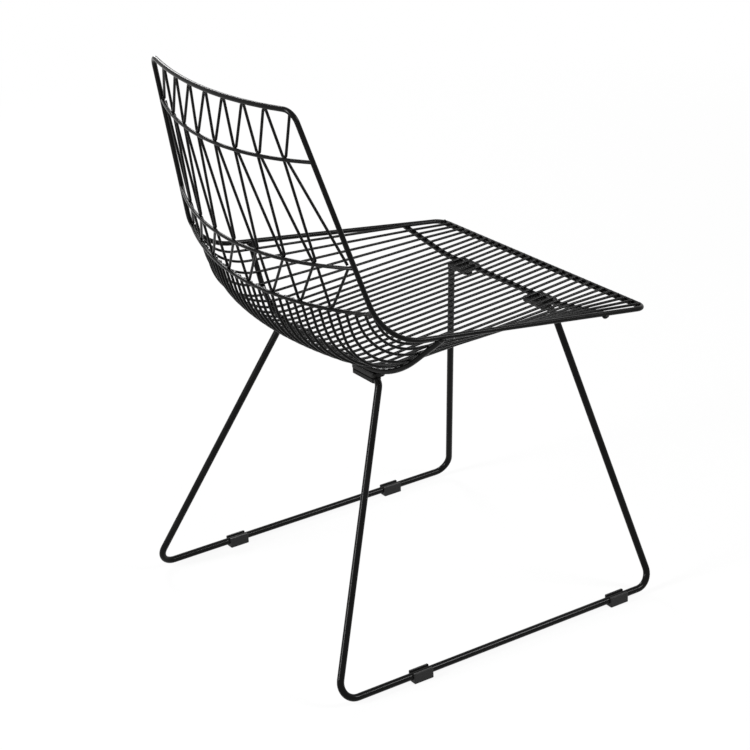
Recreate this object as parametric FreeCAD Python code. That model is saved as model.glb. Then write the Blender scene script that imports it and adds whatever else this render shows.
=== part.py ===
import FreeCAD
import Part
import math
import os

# Wire mesh side chair with sled legs.
# Millimetres, +Z up. The front edge of the seat faces -Y, and the chair is 'left' at -X and
# 'right' at +X, as seen by someone who looks at it from the front.
# The origin is on the floor, midway between the four corners of the two runners.

# Stock
EDGE_ROD = 7.0
BACK_RAIL = 5.0
ZIGZAG_WIRE = 3.8
SEAT_WIRE = 3.8
FRONT_EDGE_WIRE = 3.8
CROSS_ROD = 8.0
LEG_ROD = 10.0

# Welds: how far two round pieces melt into each other
CROSSING_SINK = 0.3
BUTT_SINK = 0.9

# Edge rod, a closed loop round the back and the seat, by its corners before bending
TOP_CORNER_HALF_WIDTH = 177.1
TOP_CORNER_HEIGHT = 800.4
SEAT_CORNER_HALF_WIDTH = 241.9
SEAT_CORNER_HEIGHT = 492.6
SEAT_CORNER_Y = 164.9
FRONT_CORNER_HALF_WIDTH = 240.9
FRONT_CORNER_HEIGHT = 434.8
FRONT_CORNER_Y = -266.5
BACK_LEAN = 14.05
TOP_RAIL_END_ANGLE = 13.3
TOP_CORNER_BEND = 20.0
SEAT_CORNER_BEND = 87.0
FRONT_CORNER_BEND = 17.0

# Back rails: the height of their ends as a share of the way from the seat corners to the top
# corners, and how far they bow to the rear
UPPER_RAIL_SHARE = 0.7856
UPPER_RAIL_BOW = 36.5
MIDDLE_RAIL_SHARE = 0.335
MIDDLE_RAIL_BOW = 49.0
LOWER_RAIL_SHARE = 0.13
LOWER_RAIL_BOW = 47.5

# Zigzag wires between the back rails
ZIGZAG_COUNT = 8
ZIGZAG_BEND = 2.4
ZIGZAG_TIP_GAP = 0.4
ZIGZAG_SPREAD = 0.96
ZIGZAG_START_INSET = 4.5
TOP_TIP_SHIFT = 1.9
TOP_END_INSET = 7.0
UPPER_TIP_SHIFT = -6.6
MIDDLE_TIP_SHIFT = 2.3
MIDDLE_END_INSET = 12.5
LOWER_TIP_SHIFT = 4.5

# Seat wires
SEAT_WIRE_COUNT = 31
SEAT_WIRE_BEND = 110.0
SEAT_DISH_DEPTH = 71.9
SEAT_DISH_BEND = 145.0
SEAT_WIRE_REAR_INSET = 2.5
SEAT_WIRE_FRONT_INSET = 11.4
SEAT_WIRE_FRONT_SETBACK = 2.0
SEAT_WIRE_FRONT_RISE = 3.6
SEAT_WIRE_FRONT_BEND = 300.0
SEAT_WIRE_TIP_BEND = 20.0
FRONT_EDGE_WIRE_SETBACK = 7.2

# Cross rods under the seat
REAR_CROSS_Y = 74.0
REAR_CROSS_DEPTH = 83.6
REAR_CROSS_SLOPE = 43.0
REAR_CROSS_TILT = 72.5
REAR_CROSS_BEND = 150.0
FRONT_CROSS_Y = -197.4
FRONT_CROSS_DEPTH = 15.4
FRONT_CROSS_SLOPE = 8.0
FRONT_CROSS_TILT = 82.0
FRONT_CROSS_BEND = 300.0
CROSS_ROD_TUCK = 2.5

# Leg frames
RUNNER_HALF_WIDTH = 250.5
RUNNER_HALF_LENGTH = 270.6
RUNNER_BEND = 22.0
LEG_TOP_BEND = 10.0
REAR_LEG_TOP_HALF_WIDTH = 127.9
REAR_LEG_TOP_SETBACK = 2.7
FRONT_LEG_TOP_HALF_WIDTH = 121.1
FRONT_LEG_TOP_SETBACK = -2.3

# Flattened leg ends and the plates that they are screwed to
PAD_THICKNESS = 6.0
PAD_WIDTH = 14.0
PAD_OVERLAP = 6.0
PLATE_THICKNESS = 6.2
PLATE_EDGE_CHAMFER = 0.6
PLATE_CORNER_RADIUS = 6.0
REAR_PLATE_INNER_END = 61.5
REAR_PLATE_OUTER_END = 118.0
REAR_PLATE_WIDTH = 21.0
REAR_PLATE_SETBACK = -6.0
REAR_PAD_INNER_END = 64.0
REAR_PAD_SETBACK = -1.5
REAR_SCREW_INNER = 75.0
FRONT_PLATE_INNER_END = 70.0
FRONT_PLATE_OUTER_END = 112.5
FRONT_PLATE_WIDTH = 34.0
FRONT_PLATE_SETBACK = -3.4
FRONT_PAD_INNER_END = 75.0
FRONT_PAD_SETBACK = -2.8
FRONT_SCREW_INNER = 86.0

# Screws
SCREW_PITCH = 13.5
SCREW_SHANK = 5.0
SCREW_HOLE_CLEARANCE = 0.5
SCREW_HEAD = 9.0
SCREW_HEAD_HEIGHT = 2.6
SCREW_HEAD_ROUNDING = 0.9
SCREW_SOCKET = 3.0
SCREW_SOCKET_DEPTH = 1.4
SCREW_TIP_SETBACK = 0.4

# Glides
GLIDE_LENGTH = 31.0
GLIDE_WALL = 2.75
GLIDE_FLOOR = 4.5
GLIDE_LIP = 1.1
GLIDE_LIP_OPENING = 8.6
GLIDE_EDGE_ROUNDING = 1.2
LEFT_REAR_GLIDE_Y = 135.5
LEFT_FRONT_GLIDE_Y = -205.5
RIGHT_REAR_GLIDE_Y = 127.0
RIGHT_FRONT_GLIDE_Y = -156.0

# Modelling
BEND_SHARE = 0.48
KNEE_SHARE = 0.97
PATH_TOLERANCE = 0.001
BISECTIONS = 50

ACROSS = FreeCAD.Vector(1, 0, 0)
UP = FreeCAD.Vector(0, 0, 1)


def vector(x, y, z):
    return FreeCAD.Vector(x, y, z)


def in_profile(angle):
    """Unit vector in the side view, at an angle in degrees above the rearward direction."""
    return vector(0, math.cos(math.radians(angle)), math.sin(math.radians(angle)))


def mirrored(point):
    return vector(-point.x, point.y, point.z)


# Directions of the back: up along it, and square to it towards the rear
BACK_UP = in_profile(90 - BACK_LEAN)
BACK_REAR = in_profile(-BACK_LEAN)


# Bent rods

def turn_at(before, corner, after):
    """Angle in radians by which a path turns at a corner."""
    return (corner - before).getAngle(after - corner)


def bend_setback(before, corner, after, radius):
    """Distance from a corner to the start of its bend."""
    return radius * math.tan(turn_at(before, corner, after) / 2)


def fitted_radius(before, corner, after, radius, share=BEND_SHARE):
    """The wanted bend radius, or less where a run beside the corner is too short for it."""
    shorter = min((corner - before).Length, (after - corner).Length)
    return min(radius, share * shorter / math.tan(turn_at(before, corner, after) / 2))


def bend_arc(before, corner, after, radius):
    """Start, middle and end of the arc that rounds a corner."""
    back = (before - corner).normalize()
    ahead = (after - corner).normalize()
    setback = bend_setback(before, corner, after, radius)
    half_turn = turn_at(before, corner, after) / 2
    towards_centre = (back + ahead).normalize()
    rise = radius / math.cos(half_turn) - radius
    return corner + back * setback, corner + towards_centre * rise, corner + ahead * setback


def bent_path(points, radii):
    """Edges of straight runs through the points, joined by tangent arcs."""
    edges = []
    start = points[0]
    for before, corner, after, radius in zip(points, points[1:], points[2:], radii):
        arc_start, arc_middle, arc_end = bend_arc(before, corner, after, radius)
        if start.distanceToPoint(arc_start) > PATH_TOLERANCE:
            edges.append(Part.LineSegment(start, arc_start).toShape())
        edges.append(Part.Arc(arc_start, arc_middle, arc_end).toShape())
        start = arc_end
    if start.distanceToPoint(points[-1]) > PATH_TOLERANCE:
        edges.append(Part.LineSegment(start, points[-1]).toShape())
    return edges


def swept_rod(edges, diameter):
    """Round rod along a path of edges."""
    first = edges[0]
    start = first.valueAt(first.FirstParameter)
    along = first.tangentAt(first.FirstParameter)
    section = Part.Wire(Part.makeCircle(diameter / 2, start, along))
    return Part.Wire(edges).makePipeShell([section], True, False)


def bent_rod(points, radii, diameter):
    return swept_rod(bent_path(points, radii), diameter)


def point_on_path(edges, axis, value):
    """First point of a path where one coordinate, 0 for X to 2 for Z, has a value."""
    for edge in edges:
        low, high = edge.FirstParameter, edge.LastParameter
        low_side = edge.valueAt(low)[axis] - value
        if low_side * (edge.valueAt(high)[axis] - value) > 0:
            continue
        for _ in range(BISECTIONS):
            middle = (low + high) / 2
            if (edge.valueAt(middle)[axis] - value) * low_side > 0:
                low = middle
            else:
                high = middle
        return edge.valueAt(low)
    raise ValueError("the path never reaches this value")


# Edge rod

class EdgeLoop:
    """Path of the edge rod, by the corners of its right half."""

    def __init__(self):
        back_rise = TOP_CORNER_HEIGHT - SEAT_CORNER_HEIGHT
        top_y = SEAT_CORNER_Y + back_rise * math.tan(math.radians(BACK_LEAN))
        self.top = vector(TOP_CORNER_HALF_WIDTH, top_y, TOP_CORNER_HEIGHT)
        self.seat = vector(SEAT_CORNER_HALF_WIDTH, SEAT_CORNER_Y, SEAT_CORNER_HEIGHT)
        self.front = vector(FRONT_CORNER_HALF_WIDTH, FRONT_CORNER_Y, FRONT_CORNER_HEIGHT)
        end_angle = math.radians(TOP_RAIL_END_ANGLE)
        top_middle = vector(0, top_y, TOP_CORNER_HEIGHT)
        self.crown = top_middle + BACK_REAR * (self.top.x * math.tan(end_angle))
        corner_setback = bend_setback(self.seat, self.top, self.crown, TOP_CORNER_BEND)
        top_run = (self.crown - self.top).Length - corner_setback
        self.top_radius = top_run / math.tan(end_angle)
        self.top_centre = self.crown - BACK_REAR * (self.top_radius / math.cos(end_angle))

    def side_path(self):
        """The right side, from the top corner to the front corner."""
        points = [self.top, self.seat, self.front]
        return bent_path(points, [SEAT_CORNER_BEND])

    def side_at_share(self, share):
        """Point at a share of the height from the seat corner to the top corner."""
        height = self.seat.z + share * (self.top.z - self.seat.z)
        return point_on_path(self.side_path(), 2, height)

    def side_at_y(self, y):
        return point_on_path(self.side_path()[1:], 1, y)

    def solid(self):
        """The loop, and the short closing piece in the middle of the front edge."""
        gap_end = vector(SEAT_WIRE, self.front.y, self.front.z)
        right = [gap_end, self.front, self.seat, self.top]
        left = [mirrored(point) for point in reversed(right)]
        bends = [FRONT_CORNER_BEND, SEAT_CORNER_BEND, TOP_CORNER_BEND]
        radii = bends + [self.top_radius] + bends[::-1]
        loop = bent_rod(right + [self.crown] + left, radii, EDGE_ROD)
        closing = Part.makeCylinder(EDGE_ROD / 2, 2 * gap_end.x, mirrored(gap_end), ACROSS)
        return loop.fuse(closing).removeSplitter()


# Back rails and zigzag wires

class BowedRail:
    """Arc that bows to the rear, square to the back, between two mirrored ends."""

    def __init__(self, centre, radius, half_angle):
        self.centre = centre
        self.radius = radius
        self.half_angle = half_angle

    @classmethod
    def between(cls, right_end, bow):
        radius = (right_end.x ** 2 + bow ** 2) / (2 * bow)
        chord_middle = vector(0, right_end.y, right_end.z)
        half_angle = math.asin(right_end.x / radius)
        return cls(chord_middle - BACK_REAR * (radius - bow), radius, half_angle)

    def at(self, share, inward=0.0, up=0.0, shift=0.0):
        """Point at a share of the arc from its left end.

        It may lie inward, towards the sitter, up along the back, and shifted along the arc.
        """
        angle = (2 * share - 1) * self.half_angle + shift / self.radius
        reach = self.radius - inward
        flat = ACROSS * (reach * math.sin(angle)) + BACK_REAR * (reach * math.cos(angle))
        return self.centre + flat + BACK_UP * up

    def solid(self, diameter, trim):
        """Round rod along the arc, cut short at both ends."""
        left = self.at(0, shift=trim)
        right = self.at(1, shift=-trim)
        return swept_rod([Part.Arc(left, self.at(0.5), right).toShape()], diameter)


class WeldLine:
    """Line along a rail that the tips of a zigzag wire are welded on."""

    def __init__(self, rail, inward, up, tip_shift, end_inset=ZIGZAG_START_INSET):
        self.rail = rail
        self.inward = inward
        self.up = up
        self.tip_shift = tip_shift
        self.end_inset = end_inset

    def tip(self, step, shift=0.0):
        """Place of a tip, counted from the right end of the rail."""
        share = 0.5 + ZIGZAG_SPREAD * (0.5 - step / ZIGZAG_COUNT)
        return self.rail.at(share, self.inward, self.up, self.tip_shift + shift)

    def right_end(self):
        return self.rail.at(1, self.inward, self.up, -self.end_inset)

    def left_end(self):
        return self.rail.at(0, self.inward, self.up, self.end_inset)


def tip_line(rail, side, tip_shift, end_inset=ZIGZAG_START_INSET):
    """Weld line on a back rail's inner face, for tips from above (1) or from below (-1)."""
    spacing = (BACK_RAIL + ZIGZAG_WIRE) / 2 - CROSSING_SINK
    up = (ZIGZAG_WIRE + ZIGZAG_TIP_GAP) / 2
    return WeldLine(rail, math.sqrt(spacing ** 2 - up ** 2), side * up, tip_shift, end_inset)


def zigzag_wire(first, second):
    """Wire from the right end of one weld line to and fro to the left end of another."""
    half_tip = 1.1 * ZIGZAG_BEND
    points = [first.right_end()]
    for step in range(1, ZIGZAG_COUNT):
        points += [second.tip(step, half_tip), second.tip(step, -half_tip)]
        points += [first.tip(step, half_tip), first.tip(step, -half_tip)]
    points.append(second.left_end())
    return bent_rod(points, [ZIGZAG_BEND] * (len(points) - 2), ZIGZAG_WIRE)


# Cross rods

class CrossRod:
    """Rod bent into a bucket, between two mirrored ends under the seat side rails."""

    def __init__(self, rail_point, depth, slope, tilt, bend):
        self.down = in_profile(-tilt)
        self.end = rail_point + self.down * CROSS_ROD_TUCK
        self.depth = depth
        self.slope = math.radians(slope)
        self.corner_x = self.end.x - depth / math.tan(self.slope)
        self.bend = bend

    def drop(self, x, above):
        """Depth below the rod's ends of a line that runs parallel above the rod."""
        flat_end = self.corner_x - self.bend * math.tan(self.slope / 2)
        reach = abs(x) - flat_end
        radius = self.bend - above
        if reach <= 0:
            return self.depth - above
        if reach <= radius * math.sin(self.slope):
            return self.depth - self.bend + math.sqrt(radius ** 2 - reach ** 2)
        return (self.end.x - abs(x)) * math.tan(self.slope) - above / math.cos(self.slope)

    def at_drop(self, x, drop):
        return vector(x, self.end.y, self.end.z) + self.down * drop

    def at(self, x, above=0.0):
        return self.at_drop(x, self.drop(x, above))

    def solid(self):
        corner = vector(self.corner_x, self.end.y, self.end.z) + self.down * self.depth
        points = [mirrored(self.end), mirrored(corner), corner, self.end]
        return bent_rod(points, [self.bend, self.bend], CROSS_ROD)


# Seat wires

def profile_crossing(point, direction, other, other_direction):
    """Where two lines cross in the side view, on the first line."""
    to_other = other - point
    area = direction.y * other_direction.z - direction.z * other_direction.y
    along = (to_other.y * other_direction.z - to_other.z * other_direction.y) / area
    return point + direction * along


def seat_wire(number, lower_rail, dish, rear_cross, front_cross, edge):
    """Seat wire by its number, from the left side.

    The wires keep to the dish, and the outer ones are lifted over the rear cross rod. Their
    tips lie level from the front edge wire to the edge rod.
    """
    on_rail = (BACK_RAIL + SEAT_WIRE) / 2 - CROSSING_SINK
    on_cross = (CROSS_ROD + SEAT_WIRE) / 2 - CROSSING_SINK
    on_edge = (EDGE_ROD + SEAT_WIRE) / 2 - CROSSING_SINK
    side = 2 * (number - 1) / (SEAT_WIRE_COUNT - 1) - 1
    half_arc = lower_rail.radius * lower_rail.half_angle
    arc = side * (half_arc - SEAT_WIRE_REAR_INSET)
    arc = max(on_edge - half_arc, min(half_arc - on_edge, arc))
    top = lower_rail.at(0.5, inward=on_rail, shift=arc)
    front = vector(side * (edge.front.x - SEAT_WIRE_FRONT_INSET),
                   edge.front.y + SEAT_WIRE_FRONT_SETBACK, edge.front.z + SEAT_WIRE_FRONT_RISE)
    tip_start = vector(front.x, edge.front.y + FRONT_EDGE_WIRE_SETBACK, front.z)
    rear_share = (top.y - rear_cross.end.y) / (top.y - front.y)
    rear_x = top.x + (front.x - top.x) * rear_share
    dish_drop, cross_drop = dish.drop(rear_x, 0), rear_cross.drop(rear_x, on_cross)
    over_rear = rear_cross.at_drop(rear_x, min(dish_drop, cross_drop))
    over_front = front_cross.at(front.x, on_cross)
    knee = profile_crossing(top, BACK_UP * -1, over_rear, over_rear - over_front)
    knee.x = (top.x + over_rear.x) / 2
    run_end = over_rear if cross_drop < dish_drop else over_front
    knee_bend = fitted_radius(top, knee, run_end, SEAT_WIRE_BEND, KNEE_SHARE)
    points = [top, knee, over_front, tip_start, front]
    return bent_rod(points, [knee_bend, SEAT_WIRE_FRONT_BEND, SEAT_WIRE_TIP_BEND], SEAT_WIRE)


def front_edge_wire(edge):
    """Thin wire that ties the seat wires together just behind the front edge."""
    y = edge.front.y + FRONT_EDGE_WIRE_SETBACK
    in_bend = max(FRONT_CORNER_BEND - FRONT_EDGE_WIRE_SETBACK, 0)
    side = edge.front.x - FRONT_CORNER_BEND + math.sqrt(FRONT_CORNER_BEND ** 2 - in_bend ** 2)
    under_wires = (SEAT_WIRE + FRONT_EDGE_WIRE) / 2 - CROSSING_SINK
    left = vector(-side, y, edge.front.z + SEAT_WIRE_FRONT_RISE - under_wires)
    return Part.makeCylinder(FRONT_EDGE_WIRE / 2, 2 * side, left, ACROSS)


# Leg frames, mounting plates and screws

class LegMount:
    """Where the legs meet one cross rod, on the right side of the chair."""

    def __init__(self, cross, leg_x, leg_setback, foot_y, pad, plate, screw_x):
        middle = cross.at(0)
        self.foot = vector(RUNNER_HALF_WIDTH, foot_y, GLIDE_FLOOR + LEG_ROD / 2)
        self.pad_inner, pad_setback = pad
        self.plate_inner, self.plate_outer, self.plate_width, plate_setback = plate
        self.pad_y = middle.y + pad_setback
        self.plate_y = middle.y + plate_setback
        self.plate_top = middle.z - CROSS_ROD / 2 + CROSSING_SINK
        self.pad_top = self.plate_top - PLATE_THICKNESS
        self.pad_bottom = self.pad_top - PAD_THICKNESS
        self.leg_corner = vector(leg_x, middle.y + leg_setback, self.pad_top - PAD_THICKNESS / 2)
        self.screws = [vector(screw_x + step * SCREW_PITCH, self.pad_y, 0) for step in (0, 1)]

    def pad_outer(self):
        """Outer end of the pad, where the leg's top bend starts."""
        inboard = self.leg_corner - ACROSS
        return self.leg_corner.x - bend_setback(self.foot, self.leg_corner, inboard, LEG_TOP_BEND)

    def run_end(self):
        """End of the round rod, inside the pad."""
        return vector(self.pad_outer() - PAD_OVERLAP, self.pad_y, self.leg_corner.z)


def rounded_bar(inner, outer, y, width, bottom, thickness, corner_radius):
    """Flat bar along X with rounded corners in plan."""
    corner = vector(inner, y - width / 2, bottom)
    bar = Part.makeBox(outer - inner, width, thickness, corner)
    upright = [edge for edge in bar.Edges if abs(edge.tangentAt(edge.FirstParameter).z) > 0.9]
    return bar.makeFillet(corner_radius, upright)


def chamfer_around(solid, height):
    """Chamfer the outline of a flat bar at one height."""
    outline = [edge for edge in solid.Edges if edge.BoundBox.ZMax - edge.BoundBox.ZMin < 0.01]
    outline = [edge for edge in outline if abs(edge.BoundBox.ZMax - height) < 0.01]
    return solid.makeChamfer(PLATE_EDGE_CHAMFER, outline)


def screw_holes(mount, diameter):
    depth = PAD_THICKNESS + PLATE_THICKNESS + CROSS_ROD
    start = mount.pad_bottom - CROSS_ROD / 2
    holes = []
    for place in mount.screws:
        base = vector(place.x, place.y, start)
        holes.append(Part.makeCylinder(diameter / 2, depth, base, UP))
    return Part.makeCompound(holes)


def mount_plate(mount):
    """Plate welded under a cross rod, with two tapped holes."""
    bottom = mount.plate_top - PLATE_THICKNESS
    plate = rounded_bar(mount.plate_inner, mount.plate_outer, mount.plate_y,
                        mount.plate_width, bottom, PLATE_THICKNESS, PLATE_CORNER_RADIUS)
    return chamfer_around(plate, bottom).cut(screw_holes(mount, SCREW_SHANK))


def leg_pad(mount):
    """Flattened leg end with two clearance holes."""
    outer = mount.pad_outer()
    pad = rounded_bar(mount.pad_inner, outer, mount.pad_y, PAD_WIDTH, mount.pad_bottom,
                      PAD_THICKNESS, PLATE_CORNER_RADIUS)
    pad = chamfer_around(pad, mount.pad_top)
    return pad.cut(screw_holes(mount, SCREW_SHANK + SCREW_HOLE_CLEARANCE))


def leg_frame(rear, front):
    """Right leg frame: two legs and a runner from one rod, with a pad at each end."""
    points = [rear.run_end(), rear.leg_corner, rear.foot]
    points += [front.foot, front.leg_corner, front.run_end()]
    radii = [LEG_TOP_BEND, RUNNER_BEND, RUNNER_BEND, LEG_TOP_BEND]
    rod = bent_rod(points, radii, LEG_ROD)
    slot_height = LEG_ROD
    for mount in (rear, front):
        above = Part.makeBox(mount.pad_outer(), 2 * LEG_ROD, slot_height,
                             vector(0, mount.pad_y - LEG_ROD, mount.pad_top))
        below = Part.makeBox(mount.pad_outer(), 2 * LEG_ROD, slot_height,
                             vector(0, mount.pad_y - LEG_ROD, mount.pad_bottom - slot_height))
        rod = rod.cut(above).cut(below)
        rod = rod.fuse(leg_pad(mount))
    return rod.removeSplitter()


def clamp_screw(mount, place):
    """Button head screw, from below the pad up into the plate."""
    head_bottom = mount.pad_bottom - SCREW_HEAD_HEIGHT
    base = vector(place.x, place.y, head_bottom)
    head = Part.makeCylinder(SCREW_HEAD / 2, SCREW_HEAD_HEIGHT, base, UP)
    rim = [edge for edge in head.Edges if abs(edge.BoundBox.ZMax - head_bottom) < 0.01]
    head = head.makeFillet(SCREW_HEAD_ROUNDING, rim)
    shank_length = mount.plate_top - SCREW_TIP_SETBACK - mount.pad_bottom
    seat = vector(place.x, place.y, mount.pad_bottom)
    shank = Part.makeCylinder(SCREW_SHANK / 2, shank_length, seat, UP)
    corners = []
    for step in range(7):
        angle = math.radians(60 * step)
        flat = vector(math.cos(angle), math.sin(angle), 0) * (SCREW_SOCKET / math.sqrt(3))
        corners.append(base + flat)
    socket = Part.Face(Part.makePolygon(corners)).extrude(UP * SCREW_SOCKET_DEPTH)
    return head.fuse(shank).cut(socket).removeSplitter()


# Glides

def glide(side, y):
    """Clip-on glide round a runner; its lips hold the rod, and it is open at the top."""
    half_width = LEG_ROD / 2 + GLIDE_WALL
    height = GLIDE_FLOOR + LEG_ROD + GLIDE_LIP
    x = side * RUNNER_HALF_WIDTH
    start = y - GLIDE_LENGTH / 2
    block = Part.makeBox(2 * half_width, GLIDE_LENGTH, height, vector(x - half_width, start, 0))
    rounded = [edge for edge in block.Edges if edge.Length > LEG_ROD]
    block = block.makeFillet(GLIDE_EDGE_ROUNDING, rounded)
    along = vector(0, 1, 0)
    bore_start = vector(x, start, GLIDE_FLOOR + LEG_ROD / 2)
    bore = Part.makeCylinder(LEG_ROD / 2, GLIDE_LENGTH, bore_start, along)
    mouth_corner = vector(x - GLIDE_LIP_OPENING / 2, start, bore_start.z)
    mouth = Part.makeBox(GLIDE_LIP_OPENING, GLIDE_LENGTH, height, mouth_corner)
    return block.cut(bore).cut(mouth)


def mirror_copy(solid):
    return solid.mirror(vector(0, 0, 0), ACROSS)


def build():
    """All nodes of the chair by name."""
    edge = EdgeLoop()
    nodes = {"edge_rod": edge.solid()}

    upper_rail = BowedRail.between(edge.side_at_share(UPPER_RAIL_SHARE), UPPER_RAIL_BOW)
    middle_rail = BowedRail.between(edge.side_at_share(MIDDLE_RAIL_SHARE), MIDDLE_RAIL_BOW)
    lower_rail = BowedRail.between(edge.side_at_share(LOWER_RAIL_SHARE), LOWER_RAIL_BOW)
    trim = EDGE_ROD / 2 - BUTT_SINK
    nodes["back_rail_upper"] = upper_rail.solid(BACK_RAIL, trim)
    nodes["back_rail_middle"] = middle_rail.solid(BACK_RAIL, trim)
    nodes["back_rail_lower"] = lower_rail.solid(BACK_RAIL, trim)

    top_half_angle = math.asin(edge.top.x / edge.top_radius)
    top_rail = BowedRail(edge.top_centre, edge.top_radius, top_half_angle)
    under_top = CROSSING_SINK - (EDGE_ROD + ZIGZAG_WIRE) / 2
    top_line = WeldLine(top_rail, 0, under_top, TOP_TIP_SHIFT, TOP_END_INSET)
    nodes["zigzag_upper"] = zigzag_wire(tip_line(upper_rail, 1, UPPER_TIP_SHIFT), top_line)
    nodes["zigzag_middle"] = zigzag_wire(
        tip_line(upper_rail, -1, UPPER_TIP_SHIFT),
        tip_line(middle_rail, 1, MIDDLE_TIP_SHIFT, MIDDLE_END_INSET))
    nodes["zigzag_lower"] = zigzag_wire(
        tip_line(lower_rail, 1, LOWER_TIP_SHIFT),
        tip_line(middle_rail, -1, MIDDLE_TIP_SHIFT, MIDDLE_END_INSET))

    rear_cross = CrossRod(edge.side_at_y(REAR_CROSS_Y), REAR_CROSS_DEPTH, REAR_CROSS_SLOPE,
                          REAR_CROSS_TILT, REAR_CROSS_BEND)
    front_cross = CrossRod(edge.side_at_y(FRONT_CROSS_Y), FRONT_CROSS_DEPTH,
                           FRONT_CROSS_SLOPE, FRONT_CROSS_TILT, FRONT_CROSS_BEND)
    dish = CrossRod(edge.side_at_y(REAR_CROSS_Y), SEAT_DISH_DEPTH, REAR_CROSS_SLOPE,
                    REAR_CROSS_TILT, SEAT_DISH_BEND)
    nodes["cross_rod_rear"] = rear_cross.solid()
    nodes["cross_rod_front"] = front_cross.solid()
    for number in range(1, SEAT_WIRE_COUNT + 1):
        wire = seat_wire(number, lower_rail, dish, rear_cross, front_cross, edge)
        nodes["seat_wire_%02d" % number] = wire
    nodes["front_edge_wire"] = front_edge_wire(edge)

    rear = LegMount(rear_cross, REAR_LEG_TOP_HALF_WIDTH, REAR_LEG_TOP_SETBACK,
                    RUNNER_HALF_LENGTH, (REAR_PAD_INNER_END, REAR_PAD_SETBACK),
                    (REAR_PLATE_INNER_END, REAR_PLATE_OUTER_END, REAR_PLATE_WIDTH,
                     REAR_PLATE_SETBACK), REAR_SCREW_INNER)
    front = LegMount(front_cross, FRONT_LEG_TOP_HALF_WIDTH, FRONT_LEG_TOP_SETBACK,
                     -RUNNER_HALF_LENGTH, (FRONT_PAD_INNER_END, FRONT_PAD_SETBACK),
                     (FRONT_PLATE_INNER_END, FRONT_PLATE_OUTER_END, FRONT_PLATE_WIDTH,
                      FRONT_PLATE_SETBACK), FRONT_SCREW_INNER)
    nodes["leg_frame_right"] = leg_frame(rear, front)
    nodes["leg_frame_left"] = mirror_copy(nodes["leg_frame_right"])
    screws = []
    for place, mount in (("rear", rear), ("front", front)):
        plate = mount_plate(mount)
        nodes["mount_plate_%s_right" % place] = plate
        nodes["mount_plate_%s_left" % place] = mirror_copy(plate)
        for spot in mount.screws:
            screw = clamp_screw(mount, spot)
            screws += [screw, mirror_copy(screw)]
    nodes["clamp_screws"] = Part.makeCompound(screws)

    nodes["glide_rear_left"] = glide(-1, LEFT_REAR_GLIDE_Y)
    nodes["glide_front_left"] = glide(-1, LEFT_FRONT_GLIDE_Y)
    nodes["glide_rear_right"] = glide(1, RIGHT_REAR_GLIDE_Y)
    nodes["glide_front_right"] = glide(1, RIGHT_FRONT_GLIDE_Y)
    return nodes


def main():
    os.makedirs("parts", exist_ok=True)
    for name, shape in build().items():
        print(name, "valid", shape.isValid(), "solids", len(shape.Solids),
              "volume", round(shape.Volume, 1))
        shape.exportStep("parts/%s.step" % name)


main()
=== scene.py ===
"""Looks of a black wire mesh side chair with sled legs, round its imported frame."""

import logging
import math
from dataclasses import dataclass, field
from enum import Enum

import bmesh
import bpy
from mathutils import Matrix, Quaternion, Vector
from mathutils.bvhtree import BVHTree
from mathutils.geometry import intersect_ray_tri

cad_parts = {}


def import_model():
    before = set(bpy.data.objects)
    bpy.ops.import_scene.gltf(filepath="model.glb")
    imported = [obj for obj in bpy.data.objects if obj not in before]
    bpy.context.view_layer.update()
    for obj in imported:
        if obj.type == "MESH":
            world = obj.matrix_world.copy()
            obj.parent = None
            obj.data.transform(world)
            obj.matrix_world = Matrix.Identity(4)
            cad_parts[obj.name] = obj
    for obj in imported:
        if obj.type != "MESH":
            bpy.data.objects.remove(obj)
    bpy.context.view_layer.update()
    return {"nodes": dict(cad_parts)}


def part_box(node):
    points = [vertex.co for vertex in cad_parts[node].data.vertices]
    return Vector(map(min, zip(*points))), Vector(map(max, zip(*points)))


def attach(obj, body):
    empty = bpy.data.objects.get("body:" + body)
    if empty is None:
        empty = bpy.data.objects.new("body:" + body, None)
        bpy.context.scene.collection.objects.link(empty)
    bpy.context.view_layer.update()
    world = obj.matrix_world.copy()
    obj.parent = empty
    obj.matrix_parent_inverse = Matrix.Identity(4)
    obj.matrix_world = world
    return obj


LOG = logging.getLogger("wire_chair")

MM = 0.001
UP = Vector((0, 0, 1))
BODY = "root"
PHOTO_PIXELS = 750

# Sockets of the Mix node that carry colours
MIX_FIRST = 6
MIX_SECOND = 7
MIX_RESULT = 2


class Layers(Enum):
    """Finer layers of a noise pattern, by their number and their strength."""

    SMOOTH = (1.0, 0.4)
    FINE = (1.0, 0.5)
    GRAINY = (2.0, 0.6)
    CLOUDY = (3.0, 0.6)
    RAGGED = (4.0, 0.7)


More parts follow.
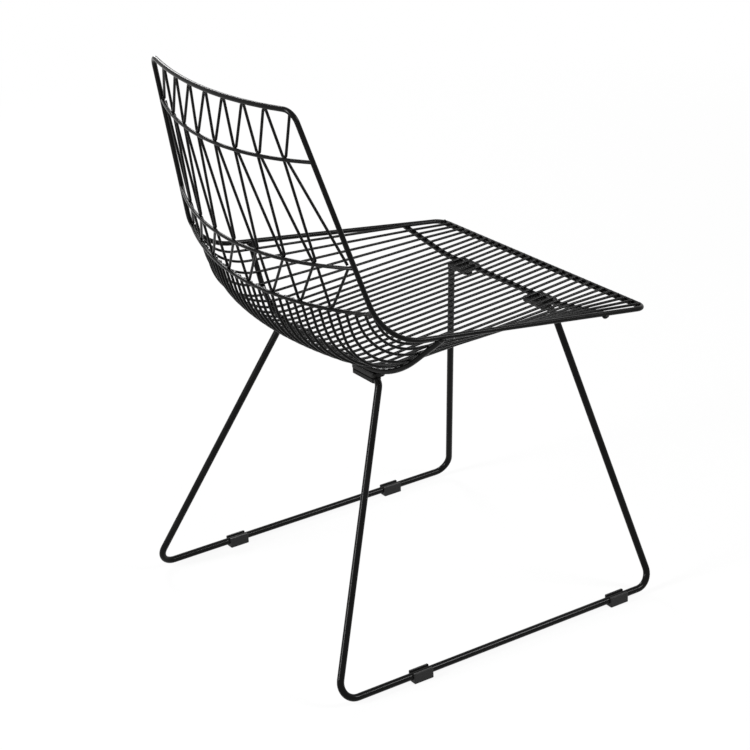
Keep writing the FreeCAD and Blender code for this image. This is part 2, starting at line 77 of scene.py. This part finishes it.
class Value:
    """A number, colour or vector socket that takes part in Python sums."""

    def __init__(self, sheet: "NodeSheet", socket: bpy.types.NodeSocket) -> None:
        """Wraps a socket of a sheet's node tree."""
        self.sheet = sheet
        self.socket = socket

    def _math(self, operation: str, first: "Value | float", second: "Value | float") -> "Value":
        """Adds a Math node.

        Args:
            operation: the Math node's operation.
            first: its first value.
            second: its second value.

        Returns:
            The node's result.
        """
        return self.sheet.node("ShaderNodeMath", {"operation": operation}, {0: first, 1: second})

    def __add__(self, other: "Value | float") -> "Value":
        """Sum of two values."""
        return self._math("ADD", self, other)

    def __radd__(self, other: float) -> "Value":
        """Sum with a plain number in front."""
        return self._math("ADD", other, self)

    def __rsub__(self, other: float) -> "Value":
        """Difference from a plain number."""
        return self._math("SUBTRACT", other, self)

    def __mul__(self, other: "Value | float") -> "Value":
        """Product of two values."""
        return self._math("MULTIPLY", self, other)

    def between(self, low: float, high: float) -> "Value":
        """Rises from 0 to 1 as the value goes from low to high.

        Args:
            low: value that gives 0.
            high: value that gives 1.

        Returns:
            The clamped share.
        """
        inputs = {"Value": self, "From Min": low, "From Max": high}
        return self.sheet.node("ShaderNodeMapRange", {"clamp": True}, inputs)


class NodeSheet:
    """Node tree with one output node."""

    def __init__(self, tree: bpy.types.NodeTree, output_kind: str) -> None:
        """Clears a tree and gives it an output node.

        Args:
            tree: the node tree.
            output_kind: type of the output node.
        """
        self.tree = tree
        self.tree.nodes.clear()
        self.output = self.tree.nodes.new(output_kind)

    def node(self, kind: str, settings: dict | None = None, inputs: dict | None = None,
             output: int | str = 0) -> Value:
        """Adds a node of any type.

        Args:
            kind: the node's type.
            settings: attributes of the node, which are set first.
            inputs: values or links by the input's name or number.
            output: name or number of the output to return.

        Returns:
            The chosen output.
        """
        made = self.tree.nodes.new(kind)
        for key, value in (settings or {}).items():
            setattr(made, key, value)
        for key, value in (inputs or {}).items():
            if isinstance(value, Value):
                self.tree.links.new(value.socket, made.inputs[key])
            else:
                made.inputs[key].default_value = value
        return Value(self, made.outputs[output])

    def place(self) -> Value:
        """Object coordinates of the surface, in metres."""
        return self.node("ShaderNodeTexCoord", output="Object")

    def noise(self, size: float, layers: Layers, seed: float = 0.0) -> Value:
        """Cloudy pattern with features of a given size.

        Args:
            size: feature size in metres.
            layers: the finer layers.
            seed: fourth coordinate, for a different pattern.

        Returns:
            The pattern, from 0 to 1.
        """
        count, strength = layers.value
        inputs = {"Vector": self.place(), "W": seed, "Scale": 1.0 / size, "Detail": count,
                  "Roughness": strength}
        return self.node("ShaderNodeTexNoise", {"noise_dimensions": "4D"}, inputs)

    def cells(self, size: float) -> Value:
        """Distance to the nearest of scattered points.

        Args:
            size: spacing of the points in metres.

        Returns:
            The distance in spacings, near 0 at a point.
        """
        return self.node("ShaderNodeTexVoronoi", {}, {"Vector": self.place(), "Scale": 1.0 / size})

    def mix(self, factor: Value | float, first: tuple | Value, second: tuple | Value) -> Value:
        """Mixes two colours.

        Args:
            factor: share of the second.
            first: colour at 0.
            second: colour at 1.

        Returns:
            The mixed colour.
        """
        inputs = {0: factor, MIX_FIRST: first, MIX_SECOND: second}
        return self.node("ShaderNodeMix", {"data_type": "RGBA"}, inputs, output=MIX_RESULT)

    def bump(self, height: Value, depth: float, under: Value | None = None) -> Value:
        """Bends the surface normal by a height pattern.

        Args:
            height: pattern from 0 to 1.
            depth: height in metres that 1 stands for.
            under: a coarser bump that this one lies on.

        Returns:
            The bent normal.
        """
        inputs = {"Height": height, "Distance": depth}
        if under is not None:
            inputs["Normal"] = under
        return self.node("ShaderNodeBump", {}, inputs)

    def seen_rays(self) -> Value:
        """Says whether a ray shows the background.

        Returns:
            1 for camera, glossy and transmission rays, and 0 for the rest.
        """
        camera = self.node("ShaderNodeLightPath", output="Is Camera Ray")
        glossy = self.node("ShaderNodeLightPath", output="Is Glossy Ray")
        through = self.node("ShaderNodeLightPath", output="Is Transmission Ray")
        return (camera + glossy + through).between(0.0, 1.0)

    def show(self, shader: Value) -> None:
        """Joins a shader to the output."""
        self.tree.links.new(shader.socket, self.output.inputs["Surface"])


class MaterialSheet(NodeSheet):
    """Node tree of one material."""

    def __init__(self, name: str) -> None:
        """Starts an empty material."""
        self.material = bpy.data.materials.new(name)
        self.material.use_nodes = True
        super().__init__(self.material.node_tree, "ShaderNodeOutputMaterial")

    def surface(self, inputs: dict) -> None:
        """Adds the surface shader and joins it to the output.

        Args:
            inputs: values or links by the shader's input names.
        """
        self.show(self.node("ShaderNodeBsdfPrincipled", {}, inputs))


class WorldSheet(NodeSheet):
    """Node tree of the world."""

    def __init__(self, name: str) -> None:
        """Starts an empty world."""
        self.world = bpy.data.worlds.new(name)
        self.world.use_nodes = True
        super().__init__(self.world.node_tree, "ShaderNodeOutputWorld")


def grey(level: float, warmth: float = 0.0) -> tuple[float, float, float, float]:
    """Grey in linear colour.

    Args:
        level: brightness of the grey.
        warmth: share by which red exceeds and blue falls short of it.

    Returns:
        The colour with full opacity.
    """
    return (level * (1 + warmth), level, level * (1 - warmth), 1.0)


@dataclass(frozen=True)
class PowderCoat:
    """Baked semi-gloss black powder coat, with its orange peel and a few specks of dust.

    Deep and gloss are the colour and roughness of the fresh coat, worn and satin those of the
    duller clouds in it.
    """

    name: str = "black_powder_coat"
    deep: float = 0.0016
    worn: float = 0.0045
    worn_warmth: float = 0.03
    gloss: float = 0.16
    satin: float = 0.24
    specular: float = 0.08
    cloud_size: float = 60.0 * MM
    cloud_range: tuple[float, float] = (0.35, 0.7)
    peel_size: float = 1.4 * MM
    peel_depth: float = 0.0012 * MM
    flow_size: float = 9.0 * MM
    flow_depth: float = 0.004 * MM
    grain_size: float = 0.5 * MM
    grain_roughness: float = 0.03
    dust_spacing: float = 9.0 * MM
    dust_range: tuple[float, float] = (0.02, 0.05)
    dust_level: float = 0.03
    dust_warmth: float = 0.04
    dust_cover: float = 0.3
    dust_roughness: float = 0.15
    seed: float = 0.0

    def build(self) -> bpy.types.Material:
        """Makes the material.

        Returns:
            The finished material.
        """
        sheet = MaterialSheet(self.name)
        clouds = sheet.noise(self.cloud_size, Layers.CLOUDY, self.seed).between(*self.cloud_range)
        peel = sheet.noise(self.peel_size, Layers.SMOOTH, self.seed + 1)
        flow = sheet.noise(self.flow_size, Layers.SMOOTH, self.seed + 2)
        dust = 1 - sheet.cells(self.dust_spacing).between(*self.dust_range)
        grain = sheet.noise(self.grain_size, Layers.FINE, self.seed + 3)
        coat = sheet.mix(clouds, grey(self.deep), grey(self.worn, self.worn_warmth))
        speck = grey(self.dust_level, self.dust_warmth)
        roughness = self.gloss + clouds * (self.satin - self.gloss)
        soft = sheet.bump(flow, self.flow_depth)
        sheet.surface({
            "Base Color": sheet.mix(dust * self.dust_cover, coat, speck),
            "Roughness": roughness + grain * self.grain_roughness + dust * self.dust_roughness,
            "Specular IOR Level": self.specular,
            "Normal": sheet.bump(peel, self.peel_depth, under=soft),
        })
        return sheet.material


@dataclass(frozen=True)
class BlackOxide:
    """Blackened screw steel, with a little bare metal showing through in blotches."""

    name: str = "black_oxide_screw"
    oxide: float = 0.012
    bare: float = 0.035
    bare_warmth: float = 0.05
    metallic: float = 0.35
    bare_metallic: float = 0.3
    roughness: float = 0.34
    blotch_size: float = 2.5 * MM
    blotch_range: tuple[float, float] = (0.4, 0.75)
    grain_size: float = 0.3 * MM
    grain_depth: float = 0.01 * MM
    grain_roughness: float = 0.14
    grain_seed: float = 4.0

    def build(self) -> bpy.types.Material:
        """Makes the material.

        Returns:
            The finished material.
        """
        sheet = MaterialSheet(self.name)
        blotch = sheet.noise(self.blotch_size, Layers.CLOUDY).between(*self.blotch_range)
        grain = sheet.noise(self.grain_size, Layers.GRAINY, self.grain_seed)
        sheet.surface({
            "Base Color": sheet.mix(blotch, grey(self.oxide), grey(self.bare, self.bare_warmth)),
            "Metallic": self.metallic + blotch * self.bare_metallic,
            "Roughness": self.roughness + grain * self.grain_roughness,
            "Normal": sheet.bump(grain, self.grain_depth),
        })
        return sheet.material


@dataclass(frozen=True)
class GlidePlastic:
    """Moulded black plastic with a fine spark-eroded grain and scuffs near the floor."""

    name: str = "glide_plastic"
    body: float = 0.005
    specular: float = 0.25
    roughness: float = 0.5
    cloud_size: float = 8.0 * MM
    cloud_gain: float = 1.6
    cloud_warmth: float = 0.02
    cloud_seed: float = 2.0
    grain_size: float = 0.35 * MM
    grain_depth: float = 0.02 * MM
    grain_roughness: float = 0.12
    scuff_level: float = 0.022
    scuff_warmth: float = 0.03
    scuff_height: float = 3.0 * MM
    scuff_size: float = 1.2 * MM
    scuff_range: tuple[float, float] = (0.45, 0.7)
    scuff_cover: float = 0.7
    scuff_roughness: float = 0.15
    scuff_seed: float = 5.0

    def build(self) -> bpy.types.Material:
        """Makes the material.

        Returns:
            The finished material.
        """
        sheet = MaterialSheet(self.name)
        grain = sheet.noise(self.grain_size, Layers.GRAINY)
        clouds = sheet.noise(self.cloud_size, Layers.CLOUDY, self.cloud_seed)
        height = sheet.node("ShaderNodeSeparateXYZ", {}, {0: sheet.place()}, output="Z")
        low = 1 - height.between(0.0, self.scuff_height)
        ragged = sheet.noise(self.scuff_size, Layers.RAGGED, self.scuff_seed)
        scuffs = low * ragged.between(*self.scuff_range)
        clouded = grey(self.body * self.cloud_gain, self.cloud_warmth)
        plastic = sheet.mix(clouds, grey(self.body), clouded)
        scuffed = grey(self.scuff_level, self.scuff_warmth)
        sheet.surface({
            "Base Color": sheet.mix(scuffs * self.scuff_cover, plastic, scuffed),
            "Roughness": (self.roughness + grain * self.grain_roughness
                          + scuffs * self.scuff_roughness),
            "Specular IOR Level": self.specular,
            "Normal": sheet.bump(grain, self.grain_depth),
        })
        return sheet.material


@dataclass(frozen=True)
class StudioPaper:
    """White backdrop paper. Seen directly or mirrored it is white, with soft shadows nearby.

    Within the lit radius the lit share of what is seen is lit paper. It fades out towards the
    white radius.
    """

    name: str = "studio_paper"
    lit_share: float = 0.10
    lit_radius: float = 1.0
    white_radius: float = 3.0
    paper: float = 0.86
    fibre_gain: float = 1.03
    fibre_size: float = 0.25

    def build(self) -> bpy.types.Material:
        """Makes the material.

        Returns:
            The finished material.
        """
        sheet = MaterialSheet(self.name)
        fibres = sheet.noise(self.fibre_size, Layers.CLOUDY)
        paper = sheet.mix(fibres, grey(self.paper), grey(self.paper * self.fibre_gain))
        lit = sheet.node("ShaderNodeBsdfDiffuse", {}, {"Color": paper})
        white = sheet.node("ShaderNodeEmission", {}, {"Color": grey(1.0), "Strength": 1.0})
        radius = sheet.node("ShaderNodeVectorMath", {"operation": "LENGTH"},
                            {0: sheet.place()}, output="Value")
        far = radius.between(self.lit_radius, self.white_radius)
        white_share = sheet.seen_rays() * ((1 - self.lit_share) + far * self.lit_share)
        sheet.show(sheet.node("ShaderNodeMixShader", {}, {0: white_share, 1: lit, 2: white}))
        return sheet.material


@dataclass
class CadPieces:
    """The chair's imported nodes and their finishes."""

    nodes: dict[str, bpy.types.Object]
    coat: bpy.types.Material
    plate_coat: bpy.types.Material
    screw: bpy.types.Material
    plastic: bpy.types.Material

    def finish_of(self, name: str) -> bpy.types.Material:
        """Finish of a node by its name.

        Args:
            name: the node's name.

        Returns:
            Its material.
        """
        if name.startswith("glide"):
            return self.plastic
        if name.startswith("clamp"):
            return self.screw
        if name.startswith("mount_plate"):
            return self.plate_coat
        return self.coat

    def dress(self) -> int:
        """Gives every node its finish.

        Returns:
            The number of nodes.
        """
        for name, piece in self.nodes.items():
            piece.data.materials.clear()
            piece.data.materials.append(self.finish_of(name))
        return len(self.nodes)


def surface_tree(piece: bpy.types.Object) -> BVHTree:
    """Search tree of a piece's surface.

    Args:
        piece: the piece.

    Returns:
        The tree.
    """
    corners = [vertex.co.copy() for vertex in piece.data.vertices]
    faces = [tuple(face.vertices) for face in piece.data.polygons]
    return BVHTree.FromPolygons(corners, faces)


def face_corners(piece: bpy.types.Object, index: int) -> list[Vector]:
    """Corners of one face of a piece."""
    mesh = piece.data
    return [mesh.vertices[corner].co for corner in mesh.polygons[index].vertices]


def edge_hits(first: list[Vector], second: list[Vector]) -> list[Vector]:
    """Points where the edges of one triangle pass through another.

    Args:
        first: corners of the triangle whose edges are followed.
        second: corners of the other triangle.

    Returns:
        The points.
    """
    hits = []
    for start, end in zip(first, first[1:] + first[:1]):
        along = end - start
        hit = intersect_ray_tri(*second, along, start, True)
        if hit is not None and (hit - start).length <= along.length:
            hits.append(hit)
    return hits


def finished_piece(name: str, mesh: bmesh.types.BMesh,
                   finish: bpy.types.Material) -> bpy.types.Object:
    """Turns a bmesh into a smooth, dressed object at the origin.

    Args:
        name: name of the object.
        mesh: its shape, in place.
        finish: its material.

    Returns:
        The object.
    """
    bmesh.ops.recalc_face_normals(mesh, faces=mesh.faces)
    for face in mesh.faces:
        face.smooth = True
    data = bpy.data.meshes.new(name)
    mesh.to_mesh(data)
    data.materials.append(finish)
    piece = bpy.data.objects.new(name, data)
    bpy.context.scene.collection.objects.link(piece)
    return piece


@dataclass
class Crossing:
    """One place where a wire is welded to a rod, and the direction from wire to rod."""

    place: Vector
    across: Vector


@dataclass
class Welds:
    """Weld beads where wires, rods and plates meet, one piece for each seam family.

    Touching faces within the reach of each other are one crossing. Bead sizes are a radius and a
    half height. The ripple sizes are shares: of the rod's radius that a ripple stands out to the
    side, and of its own radius that it is lifted and is high.
    """

    nodes: dict[str, bpy.types.Object]
    finish: bpy.types.Material
    reach: float = 7.0 * MM
    wire_bead: tuple[float, float] = (2.3 * MM, 1.3 * MM)
    rod_bead: tuple[float, float] = (4.4 * MM, 2.9 * MM)
    bead_subdivisions: int = 2
    seam_step: float = 2.4 * MM
    seam_bead: float = 1.9 * MM
    seam_end_gap: float = 3.0 * MM
    ripple_spread: float = 0.8
    ripple_lift: float = 0.35
    ripple_height: float = 0.8
    cross_rod_radius: float = 4.0 * MM
    trees: dict[str, BVHTree] = field(default_factory=dict)

    def tree(self, name: str) -> BVHTree:
        """Search tree of a node, made once.

        Args:
            name: the node's name.

        Returns:
            The tree.
        """
        if name not in self.trees:
            self.trees[name] = surface_tree(self.nodes[name])
        return self.trees[name]

    def crossings(self, wire: str, rod: str) -> list[Crossing]:
        """Places where a wire sinks into a rod.

        Args:
            wire: node name of the wire.
            rod: node name of the rod.

        Returns:
            One crossing for each cluster of touching faces.
        """
        pairs = self.tree(wire).overlap(self.tree(rod))
        clusters: list[list[tuple[Vector, Vector, Vector]]] = []
        for wire_face, rod_face in pairs:
            wire_corners = face_corners(self.nodes[wire], wire_face)
            rod_corners = face_corners(self.nodes[rod], rod_face)
            hits = edge_hits(wire_corners, rod_corners) + edge_hits(rod_corners, wire_corners)
            if not hits:
                continue
            touch = sum(hits, Vector()) / len(hits)
            wire_normal = self.nodes[wire].data.polygons[wire_face].normal.copy()
            rod_normal = self.nodes[rod].data.polygons[rod_face].normal.copy()
            for cluster in clusters:
                if (cluster[0][0] - touch).length < self.reach:
                    cluster.append((touch, wire_normal, rod_normal))
                    break
            else:
                clusters.append([(touch, wire_normal, rod_normal)])
        return [self.crossing_of(cluster) for cluster in clusters]

    @staticmethod
    def crossing_of(cluster: list[tuple[Vector, Vector, Vector]]) -> Crossing:
        """Middle and direction of one cluster of touching faces.

        Args:
            cluster: place, wire normal and rod normal of each touching pair.

        Returns:
            The crossing.
        """
        middle = sum((touch for touch, _, _ in cluster), Vector()) / len(cluster)
        facing = sum((rod_normal - wire_normal for _, wire_normal, rod_normal in cluster),
                     Vector())
        across = facing.normalized() if facing.length > 0 else UP
        return Crossing(middle, across)

    def bead(self, mesh: bmesh.types.BMesh, place: Vector, across: Vector,
             sizes: tuple[float, float]) -> None:
        """Adds one flattened bead of melted steel.

        Args:
            mesh: the mesh that takes the bead.
            place: its middle.
            across: direction in which it is flattened.
            sizes: its radius, and its half height across.
        """
        turn = UP.rotation_difference(across).to_matrix().to_4x4()
        radius, half_height = sizes
        shape = Matrix.Diagonal((radius, radius, half_height, 1))
        matrix = Matrix.Translation(place) @ turn @ shape
        bmesh.ops.create_icosphere(mesh, subdivisions=self.bead_subdivisions, radius=1.0,
                                   matrix=matrix)

    def add_piece(self, name: str, mesh: bmesh.types.BMesh) -> None:
        """Makes a mesh of beads a piece of the chair.

        Args:
            name: name of the piece.
            mesh: the beads.
        """
        piece = finished_piece(name, mesh, self.finish)
        mesh.free()
        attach(piece, BODY)

    def spots(self, name: str, pairs: list[tuple[str, str]], sizes: tuple[float, float]) -> int:
        """Makes the spot welds of several wire and rod pairs as one piece.

        Args:
            name: name of the piece.
            pairs: node names of wire and rod.
            sizes: radius and half height of each bead.

        Returns:
            The number of beads.
        """
        mesh = bmesh.new()
        found = [crossing for wire, rod in pairs for crossing in self.crossings(wire, rod)]
        for crossing in found:
            self.bead(mesh, crossing.place, crossing.across, sizes)
        if found:
            self.add_piece(name, mesh)
        return len(found)

    def plate_seams(self, plate: str, rod: str) -> int:
        """Lays a rippled seam on both sides of the rod that a plate hangs under.

        Args:
            plate: node name of the plate.
            rod: node name of the cross rod.

        Returns:
            The number of ripples.
        """
        low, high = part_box(plate)
        mesh = bmesh.new()
        length = high[0] - low[0] - 2 * self.seam_end_gap
        steps = int(length / self.seam_step)
        aside = self.cross_rod_radius * self.ripple_spread
        sizes = (self.seam_bead, self.seam_bead * self.ripple_height)
        for step in range(steps + 1):
            x = low[0] + self.seam_end_gap + length * step / steps
            probe = Vector((x, (low[1] + high[1]) / 2, high[2]))
            surface, normal, _, _ = self.tree(rod).find_nearest(probe)
            middle = surface - normal * self.cross_rod_radius
            for side in (-1, 1):
                place = Vector((x, middle.y + side * aside, high[2]))
                lean = Vector((0, side, 1)).normalized()
                self.bead(mesh, place + lean * self.seam_bead * self.ripple_lift, lean, sizes)
        self.add_piece("seam_" + plate, mesh)
        return 2 * (steps + 1)

    def build(self) -> None:
        """Makes every weld of the chair."""
        rails = ("back_rail_upper", "back_rail_middle", "back_rail_lower")
        zigzags = {"zigzag_upper": (rails[0], "edge_rod"), "zigzag_middle": rails[:2],
                   "zigzag_lower": rails[1:]}
        for wire, rods in zigzags.items():
            count = self.spots("welds_" + wire, [(wire, rod) for rod in rods], self.wire_bead)
            LOG.info("welds of %s: %d", wire, count)
        seat_wires = sorted(name for name in self.nodes if name.startswith("seat_wire"))
        crosses = ("cross_rod_rear", "cross_rod_front")
        for rod in (rails[2], *crosses, "front_edge_wire"):
            pairs = [(wire, rod) for wire in seat_wires]
            count = self.spots("welds_seat_" + rod, pairs, self.wire_bead)
            LOG.info("welds of the seat wires on %s: %d", rod, count)
        pairs = [(rail, "edge_rod") for rail in rails]
        LOG.info("rail ends: %d", self.spots("welds_rail_ends", pairs, self.wire_bead))
        pairs = [(rod, "edge_rod") for rod in crosses]
        LOG.info("cross rod ends: %d", self.spots("welds_cross_rods", pairs, self.rod_bead))
        for rod in crosses:
            place = rod.removeprefix("cross_rod_")
            for side in ("left", "right"):
                plate = f"mount_plate_{place}_{side}"
                LOG.info("seam of %s: %d ripples", plate, self.plate_seams(plate, rod))


@dataclass(frozen=True)
class Softbox:
    """One rectangular lamp, with its sizes in metres and its power in watts."""

    name: str
    place: tuple[float, float, float]
    width: float
    height: float
    power: float

    def hang(self, aim: Vector) -> None:
        """Hangs the lamp so that it faces a point.

        Args:
            aim: the point.
        """
        data = bpy.data.lights.new(self.name, "AREA")
        data.shape = "RECTANGLE"
        data.size = self.width
        data.size_y = self.height
        data.energy = self.power
        lamp = bpy.data.objects.new(self.name, data)
        lamp.location = self.place
        lamp.rotation_mode = "QUATERNION"
        lamp.rotation_quaternion = (aim - lamp.location).to_track_quat("-Z", "Y")
        bpy.context.scene.collection.objects.link(lamp)


@dataclass
class Studio:
    """Floor, world, lamps and camera. Lengths are in metres and angles in degrees.

    The focal length is in pixels of the photograph. The picture's middle lies half a pixel off
    the camera's axis.
    """

    floor_half_size: float = 12.0
    world_strength: float = 0.2
    aim: tuple[float, float, float] = (0.0, 0.0, 0.35)
    softboxes: tuple[Softbox, ...] = (
        Softbox("rear_softbox", (0.25, 2.9, 1.6), 0.6, 2.0, 125.0),
        Softbox("front_softbox", (-1.9, -1.6, 2.2), 0.8, 0.8, 60.0),
        Softbox("side_softbox", (2.9, -0.6, 1.7), 0.7, 1.3, 50.0),
    )
    camera_place: tuple[float, float, float] = (-2.406868, 1.5840065, 1.5471083)
    camera_azimuth: float = 237.0625946512268
    camera_elevation: float = 22.931523657154994
    camera_roll: float = -2.6215909583396826
    focal_pixels: float = 2212.7328
    sensor_width: float = 36.0
    half_pixel: float = 0.5 / PHOTO_PIXELS

    def floor(self) -> None:
        """Lays a plain white floor."""
        mesh = bmesh.new()
        bmesh.ops.create_grid(mesh, x_segments=1, y_segments=1, size=self.floor_half_size)
        data = bpy.data.meshes.new("floor")
        mesh.to_mesh(data)
        mesh.free()
        data.materials.append(StudioPaper().build())
        piece = bpy.data.objects.new("floor", data)
        bpy.context.scene.collection.objects.link(piece)

    def world(self) -> None:
        """Surrounds the chair with even light and a white background."""
        sheet = WorldSheet("studio_room")
        strength = self.world_strength + sheet.seen_rays() * (1 - self.world_strength)
        inputs = {"Color": grey(1.0), "Strength": strength}
        sheet.show(sheet.node("ShaderNodeBackground", {}, inputs))
        bpy.context.scene.world = sheet.world

    def lamps(self) -> None:
        """Hangs the softboxes, all facing the middle of the chair."""
        for softbox in self.softboxes:
            softbox.hang(Vector(self.aim))

    def camera(self) -> None:
        """Stands the camera where the photograph was taken from."""
        azimuth = math.radians(self.camera_azimuth)
        elevation = math.radians(self.camera_elevation)
        back = Vector((math.sin(azimuth) * math.cos(elevation),
                       -math.cos(azimuth) * math.cos(elevation), math.sin(elevation)))
        level = (-back).to_track_quat("-Z", "Y")
        roll = Quaternion((0, 0, 1), math.radians(self.camera_roll))
        data = bpy.data.cameras.new("camera")
        data.sensor_width = self.sensor_width
        data.lens = self.focal_pixels / PHOTO_PIXELS * self.sensor_width
        data.shift_x = -self.half_pixel
        data.shift_y = self.half_pixel
        camera = bpy.data.objects.new("camera", data)
        camera.location = self.camera_place
        camera.rotation_mode = "QUATERNION"
        camera.rotation_quaternion = level @ roll
        bpy.context.scene.collection.objects.link(camera)
        bpy.context.scene.camera = camera

    def set_up(self) -> None:
        """Sets up the whole studio."""
        self.floor()
        self.world()
        self.lamps()
        self.camera()
        bpy.context.scene.view_settings.view_transform = "Standard"


def main() -> None:
    """Builds the looks of the chair in order."""
    logging.basicConfig(level=logging.INFO, format="%(message)s")
    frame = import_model()
    nodes = frame["nodes"]

    coat = PowderCoat().build()
    plate_coat = PowderCoat("plate_powder_coat", deep=0.006, worn=0.012, gloss=0.24,
                            satin=0.34, peel_size=1.1 * MM, seed=7.0).build()
    weld_coat = PowderCoat("weld_powder_coat", deep=0.004, worn=0.009, gloss=0.16,
                           satin=0.26, flow_size=1.6 * MM, seed=3.0).build()
    cad = CadPieces(nodes, coat, plate_coat, BlackOxide().build(), GlidePlastic().build())
    LOG.info("frame: %d nodes dressed", cad.dress())

    Welds(nodes, weld_coat).build()

    Studio().set_up()
    LOG.info("studio: floor, world, lamps and camera")


if __name__ == "__main__":
    main()
